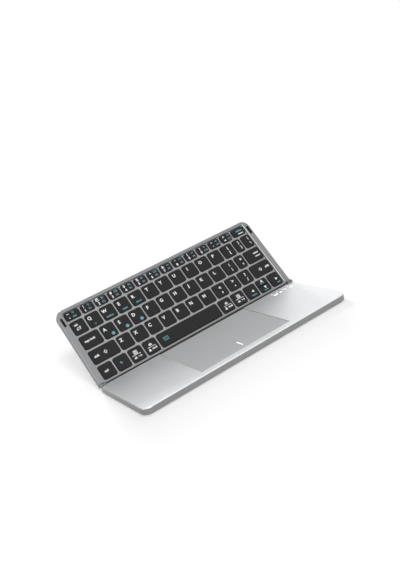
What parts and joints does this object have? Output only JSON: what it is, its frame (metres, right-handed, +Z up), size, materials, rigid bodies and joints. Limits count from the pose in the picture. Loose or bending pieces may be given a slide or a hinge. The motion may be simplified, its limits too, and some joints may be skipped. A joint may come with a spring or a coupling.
{
  "type": "folding keyboard",
  "caption": "Two-leaf folding keyboard: a low-profile key field hinged to a palm rest with a clicking touchpad, which lies open on a desk or folds flat.",
  "frame": {"origin": "on the floor, under the middle of the outline as it stands open", "axes": "+X along the hinge to the right as typed on, +Y from the palm rest towards the keys, +Z up"},
  "size_m": [0.2504, 0.152, 0.0774],
  "materials": {
    "silver_casing": "bead-blasted satin",
    "deck_grey": "fine satin paint",
    "cover_grey": "fine texture",
    "black_rubber": "matt",
    "key_plastic": "fine texture",
    "touch_surface": "etched, painted behind",
    "bright_steel": "brushed",
    "dark_steel": "blackened",
    "support_plate": "rolled",
    "membrane_film": "translucent film",
    "dome_rubber": "translucent",
    "link_plastic": "moulded",
    "circuit_board": "solder mask",
    "chip_black": "moulded",
    "battery_foil": "foil pouch",
    "wire_red": "insulation",
    "light_guide": "clear",
    "switch_grey": "moulded",
    "amber_film": "film"
  },
  "bodies": {
    "palm_half": {"palm_top_cover": "silver_casing", "palm_bottom_cover": "cover_grey", "palm_feet": "black_rubber", "palm_screws": "dark_steel", "touchpad_bracket": "bright_steel", "battery_cell": "battery_foil", "battery_wires": "wire_red", "main_circuit_board": "circuit_board", "board_chips": "chip_black", "indicator_light_guides": "light_guide", "charging_socket": "bright_steel", "power_switch_case": "chip_black", "palm_hinge_leaf_left": "bright_steel", "palm_hinge_leaf_right": "bright_steel", "hinge_pin_left": "bright_steel", "hinge_pin_right": "bright_steel", "hinge_flat_cable": "amber_film"},
    "keyboard_half": {"keyboard_deck": "deck_grey", "keyboard_bottom_cover": "cover_grey", "keyboard_feet": "black_rubber", "keyboard_bumpers": "black_rubber", "keyboard_screws": "dark_steel", "keyboard_hinge_leaf_left": "bright_steel", "keyboard_hinge_leaf_right": "bright_steel", "key_support_plate": "support_plate", "key_membrane": "membrane_film", "key_rubber_domes": "dome_rubber", "key_scissor_links": "link_plastic"},
    "touchpad": {"touchpad_plate": "touch_surface", "touchpad_board": "circuit_board", "touchpad_click_switch": "bright_steel"},
    "power_switch": {"power_switch_slider": "switch_grey"},
    "key_control_body": {"key_control": "key_plastic"},
    "key_function_body": {"key_function": "key_plastic"},
    "key_option_left_body": {"key_option_left": "key_plastic"},
    "key_modifier_left_body": {"key_modifier_left": "key_plastic"},
    "key_space_body": {"key_space": "key_plastic"},
    "key_modifier_right_body": {"key_modifier_right": "key_plastic"},
    "key_option_right_body": {"key_option_right": "key_plastic"},
    "key_shift_left_body": {"key_shift_left": "key_plastic"},
    "key_shift_right_body": {"key_shift_right": "key_plastic"},
    "key_caps_lock_body": {"key_caps_lock": "key_plastic"},
    "key_enter_body": {"key_enter": "key_plastic"},
    "key_tab_body": {"key_tab": "key_plastic"},
    "key_backslash_body": {"key_backslash": "key_plastic"},
    "key_accent_body": {"key_accent": "key_plastic"},
    "key_backspace_body": {"key_backspace": "key_plastic"},
    "keys_arrows_body": {"keys_arrows": "key_plastic"},
    "keys_punctuation_body": {"keys_punctuation": "key_plastic"},
    "keys_column_1_body": {"keys_column_1": "key_plastic"},
    "keys_column_2_body": {"keys_column_2": "key_plastic"},
    "keys_column_3_body": {"keys_column_3": "key_plastic"},
    "keys_column_4_body": {"keys_column_4": "key_plastic"},
    "keys_column_5_body": {"keys_column_5": "key_plastic"},
    "keys_column_6_body": {"keys_column_6": "key_plastic"},
    "keys_column_7_body": {"keys_column_7": "key_plastic"},
    "keys_column_8_body": {"keys_column_8": "key_plastic"},
    "keys_column_9_body": {"keys_column_9": "key_plastic"},
    "keys_column_10_body": {"keys_column_10": "key_plastic"}
  },
  "joints": [
    {"name": "hinge_fold", "type": "hinge", "parent": "palm_half", "child": "keyboard_half", "pos_m": [0, 0.01396, 0.0083], "axis": [1, 0, 0], "range_deg": [-51, 129], "deforming": ["hinge_flat_cable"]},
    {"name": "touchpad_click", "type": "hinge", "parent": "palm_half", "child": "touchpad", "pos_m": [0, 0.01016, 0.0064], "axis": [1, 0, 0], "range_deg": [0, 0.37], "stiffness_Nm_per_rad": 7, "springref_deg": -0.34},
    {"name": "power_switch_slide", "type": "slide", "parent": "palm_half", "child": "power_switch", "axis": [0, -1, 0], "range_m": [0, 0.002]},
    {"name": "key_control_press", "type": "slide", "parent": "keyboard_half", "child": "key_control_body", "axis": [0, 0.7771, -0.6293], "range_m": [0, 0.0012], "stiffness_N_per_m": 450, "springref_m": -0.0004, "deforming": ["key_rubber_domes", "key_scissor_links"]},
    {"name": "key_function_press", "type": "slide", "parent": "keyboard_half", "child": "key_function_body", "axis": [0, 0.7771, -0.6293], "range_m": [0, 0.0012], "stiffness_N_per_m": 450, "springref_m": -0.0004, "deforming": ["key_rubber_domes", "key_scissor_links"]},
    {"name": "key_option_left_press", "type": "slide", "parent": "keyboard_half", "child": "key_option_left_body", "axis": [0, 0.7771, -0.6293], "range_m": [0, 0.0012], "stiffness_N_per_m": 450, "springref_m": -0.0004, "deforming": ["key_rubber_domes", "key_scissor_links"]},
    {"name": "key_modifier_left_press", "type": "slide", "parent": "keyboard_half", "child": "key_modifier_left_body", "axis": [0, 0.7771, -0.6293], "range_m": [0, 0.0012], "stiffness_N_per_m": 450, "springref_m": -0.0004, "deforming": ["key_rubber_domes", "key_scissor_links"]},
    {"name": "key_space_press", "type": "slide", "parent": "keyboard_half", "child": "key_space_body", "axis": [0, 0.7771, -0.6293], "range_m": [0, 0.0012], "stiffness_N_per_m": 450, "springref_m": -0.0004, "deforming": ["key_rubber_domes", "key_scissor_links"]},
    {"name": "key_modifier_right_press", "type": "slide", "parent": "keyboard_half", "child": "key_modifier_right_body", "axis": [0, 0.7771, -0.6293], "range_m": [0, 0.0012], "stiffness_N_per_m": 450, "springref_m": -0.0004, "deforming": ["key_rubber_domes", "key_scissor_links"]},
    {"name": "key_option_right_press", "type": "slide", "parent": "keyboard_half", "child": "key_option_right_body", "axis": [0, 0.7771, -0.6293], "range_m": [0, 0.0012], "stiffness_N_per_m": 450, "springref_m": -0.0004, "deforming": ["key_rubber_domes", "key_scissor_links"]},
    {"name": "key_shift_left_press", "type": "slide", "parent": "keyboard_half", "child": "key_shift_left_body", "axis": [0, 0.7771, -0.6293], "range_m": [0, 0.0012], "stiffness_N_per_m": 450, "springref_m": -0.0004, "deforming": ["key_rubber_domes", "key_scissor_links"]},
    {"name": "key_shift_right_press", "type": "slide", "parent": "keyboard_half", "child": "key_shift_right_body", "axis": [0, 0.7771, -0.6293], "range_m": [0, 0.0012], "stiffness_N_per_m": 450, "springref_m": -0.0004, "deforming": ["key_rubber_domes", "key_scissor_links"]},
    {"name": "key_caps_lock_press", "type": "slide", "parent": "keyboard_half", "child": "key_caps_lock_body", "axis": [0, 0.7771, -0.6293], "range_m": [0, 0.0012], "stiffness_N_per_m": 450, "springref_m": -0.0004, "deforming": ["key_rubber_domes", "key_scissor_links"]},
    {"name": "key_enter_press", "type": "slide", "parent": "keyboard_half", "child": "key_enter_body", "axis": [0, 0.7771, -0.6293], "range_m": [0, 0.0012], "stiffness_N_per_m": 450, "springref_m": -0.0004, "deforming": ["key_rubber_domes", "key_scissor_links"]},
    {"name": "key_tab_press", "type": "slide", "parent": "keyboard_half", "child": "key_tab_body", "axis": [0, 0.7771, -0.6293], "range_m": [0, 0.0012], "stiffness_N_per_m": 450, "springref_m": -0.0004, "deforming": ["key_rubber_domes", "key_scissor_links"]},
    {"name": "key_backslash_press", "type": "slide", "parent": "keyboard_half", "child": "key_backslash_body", "axis": [0, 0.7771, -0.6293], "range_m": [0, 0.0012], "stiffness_N_per_m": 450, "springref_m": -0.0004, "deforming": ["key_rubber_domes", "key_scissor_links"]},
    {"name": "key_accent_press", "type": "slide", "parent": "keyboard_half", "child": "key_accent_body", "axis": [0, 0.7771, -0.6293], "range_m": [0, 0.0012], "stiffness_N_per_m": 450, "springref_m": -0.0004, "deforming": ["key_rubber_domes", "key_scissor_links"]},
    {"name": "key_backspace_press", "type": "slide", "parent": "keyboard_half", "child": "key_backspace_body", "axis": [0, 0.7771, -0.6293], "range_m": [0, 0.0012], "stiffness_N_per_m": 450, "springref_m": -0.0004, "deforming": ["key_rubber_domes", "key_scissor_links"]},
    {"name": "keys_arrows_press", "type": "slide", "parent": "keyboard_half", "child": "keys_arrows_body", "axis": [0, 0.7771, -0.6293], "range_m": [0, 0.0012], "stiffness_N_per_m": 1800, "springref_m": -0.0004, "deforming": ["key_rubber_domes", "key_scissor_links"]},
    {"name": "keys_punctuation_press", "type": "slide", "parent": "keyboard_half", "child": "keys_punctuation_body", "axis": [0, 0.7771, -0.6293], "range_m": [0, 0.0012], "stiffness_N_per_m": 2250, "springref_m": -0.0004, "deforming": ["key_rubber_domes", "key_scissor_links"]},
    {"name": "keys_column_1_press", "type": "slide", "parent": "keyboard_half", "child": "keys_column_1_body", "axis": [0, 0.7771, -0.6293], "range_m": [0, 0.0012], "stiffness_N_per_m": 1800, "springref_m": -0.0004, "deforming": ["key_rubber_domes", "key_scissor_links"]},
    {"name": "keys_column_2_press", "type": "slide", "parent": "keyboard_half", "child": "keys_column_2_body", "axis": [0, 0.7771, -0.6293], "range_m": [0, 0.0012], "stiffness_N_per_m": 1800, "springref_m": -0.0004, "deforming": ["key_rubber_domes", "key_scissor_links"]},
    {"name": "keys_column_3_press", "type": "slide", "parent": "keyboard_half", "child": "keys_column_3_body", "axis": [0, 0.7771, -0.6293], "range_m": [0, 0.0012], "stiffness_N_per_m": 1800, "springref_m": -0.0004, "deforming": ["key_rubber_domes", "key_scissor_links"]},
    {"name": "keys_column_4_press", "type": "slide", "parent": "keyboard_half", "child": "keys_column_4_body", "axis": [0, 0.7771, -0.6293], "range_m": [0, 0.0012], "stiffness_N_per_m": 1800, "springref_m": -0.0004, "deforming": ["key_rubber_domes", "key_scissor_links"]},
    {"name": "keys_column_5_press", "type": "slide", "parent": "keyboard_half", "child": "keys_column_5_body", "axis": [0, 0.7771, -0.6293], "range_m": [0, 0.0012], "stiffness_N_per_m": 1800, "springref_m": -0.0004, "deforming": ["key_rubber_domes", "key_scissor_links"]},
    {"name": "keys_column_6_press", "type": "slide", "parent": "keyboard_half", "child": "keys_column_6_body", "axis": [0, 0.7771, -0.6293], "range_m": [0, 0.0012], "stiffness_N_per_m": 1800, "springref_m": -0.0004, "deforming": ["key_rubber_domes", "key_scissor_links"]},
    {"name": "keys_column_7_press", "type": "slide", "parent": "keyboard_half", "child": "keys_column_7_body", "axis": [0, 0.7771, -0.6293], "range_m": [0, 0.0012], "stiffness_N_per_m": 1800, "springref_m": -0.0004, "deforming": ["key_rubber_domes", "key_scissor_links"]},
    {"name": "keys_column_8_press", "type": "slide", "parent": "keyboard_half", "child": "keys_column_8_body", "axis": [0, 0.7771, -0.6293], "range_m": [0, 0.0012], "stiffness_N_per_m": 1800, "springref_m": -0.0004, "deforming": ["key_rubber_domes", "key_scissor_links"]},
    {"name": "keys_column_9_press", "type": "slide", "parent": "keyboard_half", "child": "keys_column_9_body", "axis": [0, 0.7771, -0.6293], "range_m": [0, 0.0012], "stiffness_N_per_m": 1800, "springref_m": -0.0004, "deforming": ["key_rubber_domes", "key_scissor_links"]},
    {"name": "keys_column_10_press", "type": "slide", "parent": "keyboard_half", "child": "keys_column_10_body", "axis": [0, 0.7771, -0.6293], "range_m": [0, 0.0012], "stiffness_N_per_m": 1800, "springref_m": -0.0004, "deforming": ["key_rubber_domes", "key_scissor_links"]}
  ]
}
